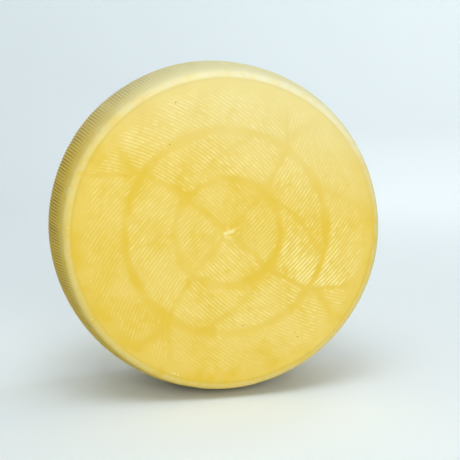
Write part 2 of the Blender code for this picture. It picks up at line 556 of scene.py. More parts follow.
@dataclass(frozen=True)
class WheelBody:
    """The plain barrel under the relief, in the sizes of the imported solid."""

    radius: float = (CAD_HIGH.x - CAD_LOW.x) / 2
    half_thickness: float = (CAD_HIGH.y - CAD_LOW.y) / 2
    rest_depth: float = 0.0012
    wall_bulge: float = 0.0123
    corner_radius: float = 0.0092
    ridge_height: float = 0.0005
    margin_deep: float = 0.85
    margin_top_sheen: float = 0.55
    margin_lean: float = 0.3
    margin_rise: float = 0.12

    @property
    def axis_height(self) -> float:
        """Height of the wheel's axis over the floor."""
        return self.radius - self.rest_depth

    @property
    def face_depth(self) -> float:
        """Distance from the wheel's middle to the hollows of a face."""
        return self.half_thickness - self.ridge_height

    @property
    def wall_curve(self) -> float:
        """Radius of the wall's bulging profile."""
        return self.half_thickness ** 2 / (2 * self.wall_bulge)

    @property
    def wall_centre(self) -> float:
        """Distance from the axis to the centre of the wall's profile, which is beyond the axis."""
        return self.radius - self.wall_curve

    def wall_radius(self, depth: float) -> float:
        """Radius of the wall at a distance along the axis from the middle."""
        return self.wall_centre + math.sqrt(self.wall_curve ** 2 - depth ** 2)

    def corner(self) -> Three:
        """Finds the rounding between a face and the wall.

        Returns:
            Depth and radius of the rounding's centre, and its turn from the face to the wall.
        """
        depth = self.face_depth - self.corner_radius
        rise = math.sqrt((self.wall_curve - self.corner_radius) ** 2 - depth ** 2)
        return depth, self.wall_centre + rise, math.pi / 2 - math.atan2(depth, rise)

    @property
    def edge_radius(self) -> float:
        """Radius at which a flat face meets its rounded corner."""
        return self.corner()[1]

    def margin_depth(self, across: Values, up: Values) -> Values:
        """How deep yellow the smooth margin is, painted paler at the top than low down as a painted sheen from
        above.
        """
        rise = (up - self.margin_lean * across) / self.margin_rise
        return self.margin_deep - self.margin_top_sheen * soft_step(rise)


@dataclass
class FacePlan:
    """Rows of points on a flat face that its skin runs along."""

    points: list[Vector] = field(default_factory=list)
    edges: list[tuple[int, int]] = field(default_factory=list)
    merge_gap: float = 1e-7

    def add_row(self, across: Values, up: Values, closed: bool = False) -> None:
        """Adds a row of points joined by edges.

        Args:
            across: the points' distances to the right.
            up: the points' heights over the face's middle.
            closed: whether the last point is joined to the first.
        """
        first = len(self.points)
        count = len(across)
        self.points.extend(Vector(place) for place in zip(across.tolist(), up.tolist()))
        self.edges.extend((first + index, first + index + 1) for index in range(count - 1))
        if closed:
            self.edges.append((first + count - 1, first))

    def skin(self) -> tuple[Values, Values, list[list[int]]]:
        """Joins the points by triangles that keep to the rows.

        Returns:
            The distances to the right and up of all corners, and the triangles.
        """
        points, _, triangles, _, _, _ = delaunay_2d_cdt(self.points, self.edges, [], 0, self.merge_gap)
        places = np.array([tuple(point) for point in points])
        return places[:, 0], places[:, 1], triangles


@dataclass
class MouldedFace:
    """A round face with two ring grooves, a hooked mark in the middle and three zones of ridged patches.

    The form's plastic mesh leaves the ridges. They are strong where the curd was pressed hard and fade where
    two sheets of the mesh met, and each one is broken into uneven dashes. Stains and pressed spots have a
    place to the right and up, a reach and a strength, and a stain below nothing is a pale one. The strokes of
    the mark have a start, an end and a strength. The jumps keep neighbouring ridges and quarters unalike, and
    the layers pick independent patterns.
    """

    body: WheelBody
    side: Side
    zones: tuple[RidgeZone, ...] = (
        RidgeZone(
            0.005, 0.0492, 0.0040, math.radians(45.5), 0.420, (0.60, 0.50, 0.65, 0.80),
            0.0, 0.0, 0.0,
        ),
        RidgeZone(
            0.0508, 0.0942, 0.0042, math.radians(50.0), 0.310, (0.96, 0.86, 0.68, 0.68),
            math.radians(36.0), math.radians(-14.0), 0.9,
        ),
        RidgeZone(
            0.0958, 0.1384, 0.0115, math.radians(55.0), 0.250, (1.05, 0.88, 0.50, 0.42),
            math.radians(26.0), math.radians(8.0), 0.5,
            math.radians(57.0), math.radians(49.0), 0.85,
        ),
    )
    ring_radii: Two = (0.050, 0.095)
    ring_leans: Two = (math.radians(-10.0), math.radians(195.0))
    ring_width: float = 0.0072
    ring_tint_width: float = 0.0050
    ring_depth: float = 0.00018
    ring_rows: tuple[float, ...] = (-0.5, -0.25, 0.0, 0.25, 0.5)
    ring_plain: float = 0.72
    ring_lean_share: float = 0.38
    ring_worn: float = 0.42
    ring_uneven: float = 0.65
    ring_layer: float = 60.0
    inner_divide: float = math.radians(48.0)
    outer_divide: float = math.radians(54.0)
    divide_depth: float = 0.00007
    divide_width: float = 0.0046
    divide_tint: float = 0.14
    divide_start: float = 0.008
    divide_start_fade: float = 0.01
    divide_end: float = 0.136
    divide_end_fade: float = 0.008
    pitch: float = 0.0031
    relief_height: float = 0.00033
    crest_sharpness: float = 1.2
    crest_most: float = 1.3
    plain_strength: float = 0.66
    patchy_share: float = 0.22
    dash_share: float = 0.48
    least_strength: float = 0.05
    most_strength: float = 1.7
    inner_fade: float = 0.0042
    divide_fade: float = 0.0028
    patch_fray: float = 0.0008
    patch_drift: float = 0.0022
    fray_middle: float = 0.5
    drift_middle: float = 0.2
    drift_most: float = 0.1
    stains: tuple[Four, ...] = (
        (0.070, -0.009, 0.030, 0.95),
        (0.122, 0.007, 0.022, 0.35),
        (0.080, -0.102, 0.028, -0.30),
        (0.009, -0.081, 0.030, -0.16),
        (-0.072, -0.013, 0.020, -0.10),
        (-0.125, 0.079, 0.022, -0.22),
        (0.142, -0.017, 0.016, -0.25),
        (0.026, 0.000, 0.014, 0.25),
        (-0.118, -0.057, 0.020, 0.30),
        (-0.074, -0.101, 0.018, 0.35),
        (0.070, 0.015, 0.016, 0.50),
        (-0.124, 0.006, 0.018, 0.35),
        (0.000, -0.029, 0.014, -0.14),
        (0.032, -0.094, 0.020, -0.12),
        (-0.135, -0.021, 0.016, 0.40),
        (-0.099, -0.090, 0.018, 0.40),
        (-0.109, 0.043, 0.014, 0.25),
        (-0.025, 0.078, 0.018, 0.30),
        (0.100, -0.039, 0.016, 0.35),
    )
    swirl_shares: Four = (0.9, 0.6, 0.4, 0.8)
    swirl_width: float = 0.0052
    swirl_curl: float = 1.5
    worn_deep: float = 0.5
    streak_width: float = 0.0055
    worn_turn: float = math.radians(38.0)
    worn_from: float = 0.075
    worn_fade: float = 0.04
    worn_share: float = 0.45
    pressed_spots: tuple[Four, ...] = (
        (0.068, -0.028, 0.024, 0.6),
        (-0.123, 0.039, 0.018, 0.6),
        (0.092, -0.064, 0.024, 1.3),
    )
    lines_in_pitch: int = 4
    line_spacing: float = 0.0032
    end_gap: float = 0.0008
    scan_step: float = 0.0001
    scan_sweep: float = 1.3
    scan_reach: float = 1.5
    least_scan: int = 4
    row_clear: float = 0.4
    ring_steps: tuple[int, int] = (180, 320)
    margin_circles: tuple[float, ...] = (0.1394, 0.1408, 0.1422)
    margin_steps: int = 336
    edge_steps: int = 1344
    margin_gap: float = 0.001
    margin_fade: float = 0.004
    swell: float = 0.00035
    swell_length: float = 0.060
    swell_fade: float = 0.012
    swell_layer: float = 40.0
    dash_length: float = 0.0056
    ridge_jump: float = 3.37
    quarter_jump: int = 61
    patchy_length: float = 0.026
    patchy_layer: float = 20.0
    mark_strokes: tuple[tuple[float, float, float, float, float], ...] = (
        (-0.0028, -0.0002, 0.0048, 0.0019, 1.0),
        (-0.0030, -0.0006, -0.0024, -0.0034, 0.5),
        (-0.0018, -0.0036, 0.0020, -0.0046, 0.5),
        (-0.0006, 0.0026, -0.0002, 0.0046, 0.4),
    )
    mark_width: float = 0.0017
    mark_soft_edge: float = 1.5
    mark_height: float = 0.00045
    mark_grid: float = 0.0006

    def divide_angle(self, radius: Values) -> Values:
        """Angle of the line between two neighbouring patches.

        Args:
            radius: distances from the face's middle.

        Returns:
            The line's angle on the face's upper right at each distance.
        """
        first, second = self.ring_radii
        share = np.clip((radius - first) / (second - first), 0.0, 1.0)
        between = self.inner_divide + share * (self.outer_divide - self.inner_divide)
        offset = second * math.cos(self.outer_divide)
        return np.where(radius <= second, between, np.arccos(offset / np.maximum(radius, second)))

    def patch_place(self, across: Values, up: Values) -> tuple[Values, Values, Values]:
        """Where points lie in their quarters.

        Args:
            across: distances to the right of the face's middle.
            up: heights over the face's middle.

        Returns:
            The radius, the number of the quarter, and the angle once turned back to the right-hand quarter.
        """
        radius = np.hypot(across, up)
        angle = np.arctan2(up, across)
        quarter = np.ceil((angle - self.divide_angle(radius)) / QUARTER_TURN)
        return radius, quarter.astype(int) % QUARTERS, angle - quarter * QUARTER_TURN

    def divide_gap(self, radius: Values, turn: Values) -> Values:
        """Distance from points in the right-hand quarter to the nearest line between patches."""
        divide = self.divide_angle(radius)
        return np.minimum(divide - turn, turn - divide + QUARTER_TURN) * radius

    def patch_clearance(self, zone: RidgeZone, radius: Values, turn: Values) -> Values:
        """Distance from points to the nearest edge of a zone's right-hand patch, negative outside.

        Args:
            zone: the zone.
            radius: the points' distances from the face's middle.
            turn: the points' angles.

        Returns:
            The distances.
        """
        to_rings = np.minimum(radius - zone.inner, zone.outer - radius)
        return np.minimum(to_rings, self.divide_gap(radius, turn))

    def ridge_rows(self, zone: RidgeZone) -> list[tuple[Values, Values]]:
        """Rows of points along the crests, flanks and hollows of a zone's right-hand patch.

        Args:
            zone: the zone.

        Returns:
            For each row, its points' distances to the right and up.
        """
        centre_x, centre_y = zone.bend_centre()
        heading = zone.slope - math.pi / 2
        sweep = self.scan_sweep * zone.outer / zone.bend
        scan = np.arange(-sweep, sweep, self.scan_step / zone.bend) + heading
        step = self.line_spacing / zone.bend
        grid = heading + step * np.arange(-math.ceil(sweep / step), math.ceil(sweep / step) + 1)
        apart = self.pitch / self.lines_in_pitch
        reach = math.ceil(self.scan_reach * zone.outer / apart)
        rows = []
        for line in range(-reach, reach + 1):
            bend = zone.bend + line * apart
            scan_x = centre_x + bend * np.cos(scan)
            scan_y = centre_y + bend * np.sin(scan)
            clearance = self.patch_clearance(zone, np.hypot(scan_x, scan_y), np.arctan2(scan_y, scan_x))
            inside = np.concatenate(([False], clearance > self.end_gap, [False]))
            changes = np.flatnonzero(inside[1:] != inside[:-1])
            for start, end in zip(changes[::2], changes[1::2] - 1):
                if end - start < self.least_scan:
                    continue
                clear = self.row_clear * step
                within = grid[(grid > scan[start] + clear) & (grid < scan[end] - clear)]
                turns = np.concatenate(([scan[start]], within, [scan[end]]))
                rows.append((centre_x + bend * np.cos(turns), centre_y + bend * np.sin(turns)))
        return rows

    def plan(self) -> FacePlan:
        """Lays out the rows of the whole face.

        Returns:
            The plan, whose edge circle matches the wall's first ring of points.
        """
        plan = FacePlan()
        self.add_circle(plan, self.body.edge_radius, self.edge_steps)
        for radius in self.margin_circles:
            self.add_circle(plan, radius, self.margin_steps)
        for radius, steps in zip(self.ring_radii, self.ring_steps):
            for share in self.ring_rows:
                self.add_circle(plan, radius + share * self.ring_width, steps)
        self.add_mark_grid(plan)
        for zone in self.zones:
            rows = self.ridge_rows(zone)
            for quarter in range(QUARTERS):
                cosine = math.cos(quarter * QUARTER_TURN)
                sine = math.sin(quarter * QUARTER_TURN)
                for across, up in rows:
                    plan.add_row(cosine * across - sine * up, sine * across + cosine * up)
        return plan

    def add_circle(self, plan: FacePlan, radius: float, steps: int) -> None:
        """Adds a closed circle of points to a plan."""
        turns = math.tau * np.arange(steps) / steps
        plan.add_row(radius * np.cos(turns), radius * np.sin(turns), closed=True)

    def add_mark_grid(self, plan: FacePlan) -> None:
        """Adds the close rows of points that the middle's small mark needs.

        Args:
            plan: the face's plan, which the rows are added to.
        """
        count = math.ceil(self.zones[0].inner / self.mark_grid)
        line = self.mark_grid * np.arange(-count, count + 1)
        for up in line:
            row = line[np.hypot(line, up) < self.zones[0].inner]
            if len(row) > 1:
                plan.add_row(row, np.full(len(row), up))

    def ridge_relief(
        self, zone: RidgeZone, radius: Values, quarter: Values, turn: Values
    ) -> tuple[Values, Values]:
        """How far the ridges of one zone stand up.

        Args:
            zone: the zone.
            radius: the points' distances from the face's middle.
            quarter: the points' quarters.
            turn: the points' angles in the right-hand quarter.

        Returns:
            Shares of the full ridge height, from 0 in the hollows to about 1 on a strong crest, and how deep
            yellow the worn streaks are.
        """
        centre_x, centre_y = zone.bend_centre()
        from_centre_x = radius * np.cos(turn) - centre_x
        from_centre_y = radius * np.sin(turn) - centre_y
        pitches = (np.hypot(from_centre_x, from_centre_y) - zone.bend) / self.pitch
        along = np.arctan2(from_centre_y, from_centre_x) * zone.bend
        number = np.round(pitches) + self.quarter_jump * quarter
        layer = self.side.layer
        dashes = rippled(along / self.dash_length, number * self.ridge_jump, layer)
        whole_turn = turn + quarter * QUARTER_TURN
        across, up = radius * np.cos(whole_turn), radius * np.sin(whole_turn)
        patchy = rippled(across / self.patchy_length, up / self.patchy_length, layer + self.patchy_layer)
        strength = np.array(zone.strengths)[quarter]
        strength = strength * (self.plain_strength + self.patchy_share * patchy + self.dash_share * dashes)
        for spot_x, spot_y, reach, gain in self.pressed_spots:
            strength *= 1 + gain * bell(np.hypot(across - spot_x, up - spot_y) / reach)
        rubbed_off = soft_step((radius * np.cos(whole_turn - self.worn_turn) - self.worn_from) / self.worn_fade)
        strength *= 1 - self.worn_share * rubbed_off
        fray = self.patch_fray * (dashes - self.fray_middle)
        fray = fray + self.patch_drift * np.minimum(patchy - self.drift_middle, self.drift_most)
        ends = soft_step((radius - zone.inner + fray) / self.inner_fade)
        ends *= soft_step((zone.outer - radius + fray) / zone.outer_fade)
        ends *= soft_step((self.divide_gap(radius, turn) + fray) / self.divide_fade)
        share = np.clip((radius - zone.inner) / (zone.outer - zone.inner), 0, 1)
        swirl = zone.swirl_end + (zone.swirl_start - zone.swirl_end) * (1 - share) ** self.swirl_curl
        swirl_wear = zone.swirl_wear * np.array(self.swirl_shares)[quarter]
        worn = 1 - swirl_wear * bell((turn - swirl) * radius / self.swirl_width)
        streak = zone.streak_start + (zone.streak_end - zone.streak_start) * share
        worn *= 1 - zone.streak_wear * bell((turn - streak) * radius / self.streak_width)
        standing = smooth_wave(math.tau * pitches) * np.clip(strength, self.least_strength, self.most_strength)
        return standing * ends * worn, self.worn_deep * (1 - worn)

    def mark_relief(self, across: Values, up: Values) -> Values:
        """How far the hooked mark in the middle stands up.

        Args:
            across: distances to the right of the face's middle.
            up: heights over the face's middle.

        Returns:
            Shares of the mark's height.
        """
        relief = np.zeros_like(across)
        for start_x, start_y, end_x, end_y, strength in self.mark_strokes:
            run_x, run_y = end_x - start_x, end_y - start_y
            share = ((across - start_x) * run_x + (up - start_y) * run_y) / (run_x ** 2 + run_y ** 2)
            share = np.clip(share, 0.0, 1.0)
            gap = np.hypot(across - start_x - share * run_x, up - start_y - share * run_y)
            relief = np.maximum(relief, strength * soft_step(self.mark_soft_edge - gap / self.mark_width))
        return relief

    def relief(self, across: Values, up: Values) -> tuple[Values, Values, Values]:
        """The face's whole relief.

        Args:
            across: distances to the right of the face's middle.
            up: heights over the face's middle.

        Returns:
            How far each point stands out of the flat face, its share of pale crest colour, which paints
            highlights on the ridges, and its share of deep colour: painted shade in the ring grooves and the
            bands between patches, and the worn streaks and stains.
        """
        radius, quarter, turn = self.patch_place(across, up)
        crest, worn_tint, ring, ring_tint = (np.zeros_like(radius) for _ in range(4))
        for zone in self.zones:
            inside = (radius > zone.inner) & (radius < zone.outer)
            here = radius[inside], quarter[inside], turn[inside]
            crest[inside], worn_tint[inside] = self.ridge_relief(zone, *here)
        for ring_radius, lean in zip(self.ring_radii, self.ring_leans):
            off_ring = np.clip(np.abs(radius - ring_radius) / (self.ring_width / 2), 0.0, 1.0)
            share = self.ring_plain + self.ring_lean_share * np.cos(np.arctan2(up, across) - lean)
            ring += share * smooth_wave(math.pi * off_ring)
            ring_tint += share * bell((radius - ring_radius) / self.ring_tint_width)
        layer = self.side.layer
        uneven = rippled(across / self.patchy_length, up / self.patchy_length, layer + self.ring_layer)
        ring_share = self.ring_worn + self.ring_uneven * uneven
        divided = soft_step((radius - self.divide_start) / self.divide_start_fade)
        divided *= soft_step((self.divide_end - radius) / self.divide_end_fade)
        band = bell(self.divide_gap(radius, turn) / self.divide_width) * divided
        mark = self.mark_relief(across, up)
        swell = rippled(across / self.swell_length, up / self.swell_length, layer + self.swell_layer)
        height = self.relief_height * crest
        height -= self.ring_depth * ring * ring_share + self.divide_depth * band
        height += self.mark_height * mark
        height += self.swell * swell * soft_step((self.body.edge_radius - radius) / self.swell_fade)
        # The ring grooves and the bands between patches are painted deep yellow: painted shade in these shallow
        # grooves.
        deep = ring_tint * ring_share + self.divide_tint * band + worn_tint
        for spot_x, spot_y, reach, share in self.stains:
            near = bell(np.hypot(across - spot_x, up - spot_y) / reach)
            deep += max(share, 0.0) * near
            crest += max(-share, 0.0) * near
        return height, np.maximum(crest, mark), np.clip(deep, 0.0, 1.0)

    def build(self) -> Piece:
        """Builds the face as an open sheet.

        Returns:
            The sheet, with its marks as vertex colours.
        """
        across, up, triangles = self.plan().skin()
        height, crest, deep = self.relief(across, up)
        depth = self.body.face_depth + height
        sign = self.side.value
        places = np.column_stack((sign * across, -sign * depth, self.body.axis_height + up))
        mesh = bpy.data.meshes.new(f"moulded_face_{self.side.name.lower()}")
        mesh.from_pydata(places.tolist(), [], triangles)
        past_ridges = np.hypot(across, up) - self.zones[-1].outer - self.margin_gap
        margin = self.body.margin_depth(across, up) * soft_step(past_ridges / self.margin_fade)
        # The crest share paints the ridge crests paler: painted highlights.
        crest = np.clip(crest, 0.0, self.crest_most) ** self.crest_sharpness
        plain = np.zeros_like(crest)
        paint_marks(mesh, crest, plain, plain, np.maximum(deep, margin))
        return add_object(mesh)


def paint_marks(
    mesh: bpy.types.Mesh, crest: Values, rub_and_sheen: Values, wall: Values, deep: Values
) -> None:
    """Stores what each point of the rind is, for its material.

    Args:
        mesh: the mesh.
        crest: shares of pale crest colour: painted highlights on ridges and ribs, and pale stains.
        rub_and_sheen: shares of pale corner, partly wear and partly a painted highlight.
        wall: shares of wall.
        deep: shares of deep colour: stains, worn streaks, the margin, and painted shade in the grooves.
    """
    layer = mesh.color_attributes.new(MARKS, "FLOAT_COLOR", "POINT")
    colours = np.column_stack((crest, rub_and_sheen, wall, deep))
    layer.data.foreach_set("color", colours.astype(np.float32).ravel())


@dataclass
class RibbedWall:
    """The barrel-shaped wall with its two rounded corners.

    The form's upright slots leave 336 ribs, about 3 mm apart, which fade towards the corners and are pressed
    flat where the wheel rests.
    """

    body: WheelBody
    ribs: int = 336
    steps_in_rib: int = 4
    rib_height: float = 0.0012
    rib_sharpness: float = 1.5
    rib_plain: float = 0.85
    rib_uneven: float = 0.35
    least_rib: float = 0.3
    most_rib: float = 1.2
    rib_crest_share: float = 0.2
    rib_full_depth: float = 0.034
    rib_end_depth: float = 0.0600
    rib_end_gain: float = 0.0100
    rib_rest_angle: float = math.radians(8.0)
    rib_rest_fade: float = math.radians(5.0)
    corner_segments: int = 6
    wall_segments: int = 10
    uneven_length: float = 0.011
    uneven_width: float = 0.05
    uneven_layer: float = 7.0
    inland_turn: float = math.radians(35.0)
    swell: float = 0.00035
    swell_length: float = 0.070
    swell_layer: float = 11.0
    chip: float = 0.0002
    chip_length: float = 0.016
    chip_layer: float = 13.0
    chip_rub: float = 0.4
    low_middle: float = 0.5
    rub_and_sheen_share: float = 0.66
    rub_and_sheen_low_loss: float = 0.2
    rub_and_sheen_start: float = math.radians(26.0)
    rub_and_sheen_reach: float = 0.0575
    rub_and_sheen_fade: float = 0.0115
    wall_start: float = math.radians(46.0)
    wall_fade: float = math.radians(30.0)

    def rings(self) -> list[Two]:
        """Lays out the rings of points, from the front face's edge to the back's.

        Returns:
            The depth and radius of each ring.
        """
        depth, radius, turn = self.body.corner()
        front = []
        for index in range(self.corner_segments + 1):
            angle = turn * index / self.corner_segments
            front.append((
                depth + self.body.corner_radius * math.cos(angle),
                radius + self.body.corner_radius * math.sin(angle),
            ))
        last = front[-1][0]
        half = self.wall_segments // 2
        for index in range(1, half + 1):
            ring_depth = last * (1 - index / half)
            front.append((ring_depth, self.body.wall_radius(ring_depth)))
        back = [(-ring_depth, ring_radius) for ring_depth, ring_radius in front[:-1]]
        return front + back[::-1]

    def build(self) -> Piece:
        """Extrudes and scales a circle ring by ring, then presses the ribs into it.

        Returns:
            The wall as an open tube, with its marks as vertex colours.
        """
        rings = self.rings()
        axis_height = self.body.axis_height
        depth, radius = rings[0]
        deselect_all()
        bpy.ops.mesh.primitive_circle_add(
            vertices=self.ribs * self.steps_in_rib,
            radius=radius,
            location=(0.0, -depth, axis_height),
            rotation=(QUARTER_TURN, 0.0, 0.0),
        )
        wall = bpy.context.object
        apply_place(wall)
        with edit_mode():
            for (depth, radius), (next_depth, next_radius) in zip(rings, rings[1:]):
                step = (0.0, depth - next_depth, 0.0)
                bpy.ops.mesh.extrude_region_move(TRANSFORM_OT_translate={"value": step})
                scale = next_radius / radius
                bpy.ops.transform.resize(
                    value=(scale, 1.0, scale), center_override=(0.0, -next_depth, axis_height)
                )
        self.press_ribs(wall.data)
        return wall

    def press_ribs(self, mesh: bpy.types.Mesh) -> None:
        """Moves the wall's points in and out for its ribs, swells and chipped corners.

        Args:
            mesh: the plain wall's mesh, whose points are moved and given their marks.
        """
        places = np.empty(len(mesh.vertices) * 3)
        mesh.vertices.foreach_get("co", places)
        places = places.reshape(-1, 3)
        depth = -places[:, 1]
        up = places[:, 2] - self.body.axis_height
        turn = np.arctan2(up, places[:, 0])
        radius = np.hypot(places[:, 0], up)
        corner_depth, corner_radius, corner_turn = self.body.corner()
        tilt = np.arctan2(radius - corner_radius, np.abs(depth) - corner_depth)
        tilt = np.where(np.abs(depth) > corner_depth, tilt, math.pi / 2)
        inland = soft_step(tilt / self.inland_turn)
        wave = smooth_wave(self.ribs * turn)
        groove = (1 - wave) ** self.rib_sharpness
        low = soft_step(self.low_middle - up / self.body.radius)
        rib_end = self.rib_end_depth + self.rib_end_gain * low
        end_fade = soft_step((rib_end - np.abs(depth)) / (self.rib_end_depth - self.rib_full_depth))
        from_bottom = np.abs(np.angle(np.exp(1j * (turn + QUARTER_TURN))))
        rest_fade = soft_step((from_bottom - self.rib_rest_angle) / self.rib_rest_fade)
        round_wall = turn * self.body.radius
        uneven = rippled(round_wall / self.uneven_length, depth / self.uneven_width, self.uneven_layer)
        swell = rippled(places[:, 0] / self.swell_length, (up + depth) / self.swell_length, self.swell_layer)
        chip = rippled(round_wall / self.chip_length, depth / self.chip_length, self.chip_layer)
        rib_share = np.clip(self.rib_plain + self.rib_uneven * uneven, self.least_rib, self.most_rib)
        rib_share = end_fade * rest_fade * rib_share
        on_corner = np.sin(np.clip(tilt / corner_turn, 0.0, 1.0) * math.pi)
        moved = radius - self.rib_height * groove * rib_share
        moved += self.swell * (swell - 1) * inland * rest_fade
        moved -= self.chip * soft_step(chip) * on_corner
        places[:, 0] = moved * np.cos(turn)
        places[:, 2] = self.body.axis_height + moved * np.sin(turn)
        mesh.vertices.foreach_set("co", places.ravel())
        mesh.update()
        # The corners are painted pale, partly for wear and partly as a painted highlight, which weakens low
        # down.
        rub_and_sheen = soft_step(tilt / self.rub_and_sheen_start) * soft_step((np.abs(depth) - self.rub_and_sheen_reach) / self.rub_and_sheen_fade)
        rub_and_sheen *= self.rub_and_sheen_share * (1 + self.chip_rub * chip) * (1 - self.rub_and_sheen_low_loss * low)
        wall_share = soft_step((tilt - self.wall_start) / self.wall_fade)
        edge = self.body.margin_depth(places[:, 0], up) * soft_step(1 - tilt / self.rub_and_sheen_start)
        # Rib crests are painted paler as painted highlights and rib grooves dark brown as painted shade.
        crest = self.rib_crest_share * wave * rib_share
        paint_marks(mesh, crest, rub_and_sheen, wall_share, np.maximum(groove * rib_share, edge))


@dataclass
class CheeseRind:
    """The whole rind: the wall and both faces joined in one closed shell."""

    body: WheelBody
    finish: OiledRind = OiledRind()
    weld: float = 0.00002
    cut_gap: float = 1e-6

    def build(self) -> Piece:
        """Builds, closes and dresses the rind.

        Returns:
            The rind.
        """
        wall = RibbedWall(self.body).build()
        faces = [MouldedFace(self.body, side).build() for side in Side]
        rind = join_pieces([wall, *faces], "cheese_rind")
        with edit_mode():
            bpy.ops.mesh.remove_doubles(threshold=self.weld)
            bpy.ops.mesh.normals_make_consistent(inside=False)
            self.cut_rest_spot()
        bpy.ops.object.shade_smooth()
        rind.data.materials.clear()
        rind.data.materials.append(self.finish.make())
        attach(rind, BODY)
        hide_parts(CAD_NODE)
        return rind

    def cut_rest_spot(self) -> None:
        """Cuts the small flat spot that the wheel stands on. The rind is in edit mode."""
        bpy.ops.mesh.select_all(action="SELECT")
        bpy.ops.mesh.bisect(
            plane_co=(0.0, 0.0, 0.0), plane_no=(0.0, 0.0, 1.0),
            use_fill=True, clear_inner=True, threshold=self.cut_gap,
        )


@dataclass
class RindBits:
    """Small bits that are set in the rind: the base of the pepper specks and the curd flakes."""

    body: WheelBody
    seed: int = 12
    wall_sink: float = 0.0008
    dice: random.Random = field(init=False)

    def __post_init__(self) -> None:
        """Seeds the source of chance."""
        self.dice = random.Random(self.seed)

    def spot_on_side(self, side: Side, across: float, up: float) -> Matrix:
        """A place on a face or its rounded corner.

        Args:
            side: which face.
            across: distance to the right of the face's middle.
            up: height over the face's middle.

        Returns:
            The place, with its Z axis out of the rind.
        """
        radius = math.hypot(across, up)
        corner_depth, corner_centre, _ = self.body.corner()
        tilt = math.asin(min(1.0, max(0.0, (radius - corner_centre) / self.body.corner_radius)))
        if tilt > 0:
            depth = corner_depth + self.body.corner_radius * math.cos(tilt)
        else:
            height, _, _ = MouldedFace(self.body, side).relief(np.array([across]), np.array([up]))
            depth = self.body.face_depth + float(height[0])
        flat = Vector((side.value * across, 0.0, up)).normalized() * math.sin(tilt)
        outward = flat + Vector((0.0, -side.value * math.cos(tilt), 0.0))
        spot = Vector((side.value * across, -side.value * depth, self.body.axis_height + up))
        return Matrix.Translation(spot) @ outward.to_track_quat("Z", "X").to_matrix().to_4x4()

    def spot_on_wall(self, turn: float, depth: float) -> Matrix:
        """A place sunk a little in the wall.

        Args:
            turn: its angle round the wheel's axis.
            depth: its place along the axis.

        Returns:
            The place, with its Z axis out of the rind.
        """
        outward = Vector((math.cos(turn), 0.0, math.sin(turn)))
        spot = (self.body.wall_radius(depth) - self.wall_sink) * outward
        spot += Vector((0.0, -depth, self.body.axis_height))
        return Matrix.Translation(spot) @ outward.to_track_quat("Z", "Y").to_matrix().to_4x4()

    def set_copy(self, pattern: Piece, place: Matrix, sizes: Three, turn: float) -> Piece:
        """Copies a bit of unit radius to a place.

        Args:
            pattern: the modelled bit.
            place: where it goes, with its Z axis out of the rind.
            sizes: its half length, half width and half height.
            turn: its turn on the rind.

        Returns:
            The copy.
        """
        copy = pattern.copy()
        copy.data = pattern.data.copy()
        bpy.context.collection.objects.link(copy)
        copy.data.transform(place @ Matrix.Rotation(turn, 4, "Z") @ Matrix.Diagonal((*sizes, 1.0)))
        return copy

    def finish_bits(
        self, pattern: Piece, bits: list[Piece], name: str, material: bpy.types.Material
    ) -> Piece:
        """Joins the copies and dresses them.

        Args:
            pattern: the modelled bit, which is removed.
            bits: its copies.
            name: the name of the joined piece.
            material: its material.

        Returns:
            The joined piece.
        """
        bpy.data.objects.remove(pattern, do_unlink=True)
        joined = join_pieces(bits, name)
        joined.data.materials.clear()
        joined.data.materials.append(material)
        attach(joined, BODY)
        return joined


@dataclass
class PepperSpecks(RindBits):
    """Bits of cracked pepper that show through the rind.

    The front ones are where the wheel has them. The rest are scattered thinly in the same way.
    """

    finish: GroundPepper = GroundPepper()
    cut_place: Three = (0.55, 0.0, 0.0)
    cut_way: Three = (1.0, 0.3, 0.2)
    raggedness: float = 0.12
    front: tuple[Three, ...] = (
        (-0.0469, 0.1197, 0.00060),
        (-0.0528, 0.0826, 0.00055),
        (0.0128, -0.0879, 0.00060),
        (0.0666, -0.1022, 0.00055),
        (0.0224, -0.0582, 0.00045),
    )
    back_count: int = 6
    back_radius: Two = (0.02, 0.13)
    back_size: Two = (0.0005, 0.0008)
    wall_count: int = 9
    wall_turn: Two = (math.radians(-70), math.radians(80))
    wall_depth: Two = (-0.052, 0.052)
    wall_size: Two = (0.0006, 0.0009)
    width_share: Two = (0.7, 1.0)
    height_share: float = 0.35

    def build(self) -> Piece:
        """Models one speck and sets copies of it in the rind.

        Returns:
            All specks as one piece.
        """
        pattern = self.model_speck()
        specks = [
            self.set_speck(pattern, self.spot_on_side(Side.FRONT, across, up), size)
            for across, up, size in self.front
        ]
        for _ in range(self.back_count):
            turn, radius = self.dice.uniform(0, math.tau), self.dice.uniform(*self.back_radius)
            place = self.spot_on_side(Side.BACK, radius * math.cos(turn), radius * math.sin(turn))
            specks.append(self.set_speck(pattern, place, self.dice.uniform(*self.back_size)))
        for _ in range(self.wall_count):
            turn = self.dice.uniform(*self.wall_turn)
            place = self.spot_on_wall(turn, self.dice.uniform(*self.wall_depth))
            specks.append(self.set_speck(pattern, place, self.dice.uniform(*self.wall_size)))
        return self.finish_bits(pattern, specks, "pepper_specks", self.finish.make())

    def model_speck(self) -> Piece:
        """Models a cracked bit of pepper of unit radius: a ball with one side cut off.

        Returns:
            The bit.
        """
        deselect_all()
        bpy.ops.mesh.primitive_ico_sphere_add(subdivisions=2, radius=1.0)
        with edit_mode():
            bpy.ops.mesh.bisect(plane_co=self.cut_place, plane_no=self.cut_way, use_fill=True, clear_outer=True)
            bpy.ops.mesh.select_all(action="SELECT")
            bpy.ops.transform.vertex_random(offset=self.raggedness, seed=3)
        return bpy.context.object

    def set_speck(self, pattern: Piece, place: Matrix, size: float) -> Piece:
        """Sets a flattened copy of the speck in the rind, turned by chance."""
        sizes = (size, size * self.dice.uniform(*self.width_share), size * self.height_share)
        return self.set_copy(pattern, place, sizes, self.dice.uniform(0, math.tau))


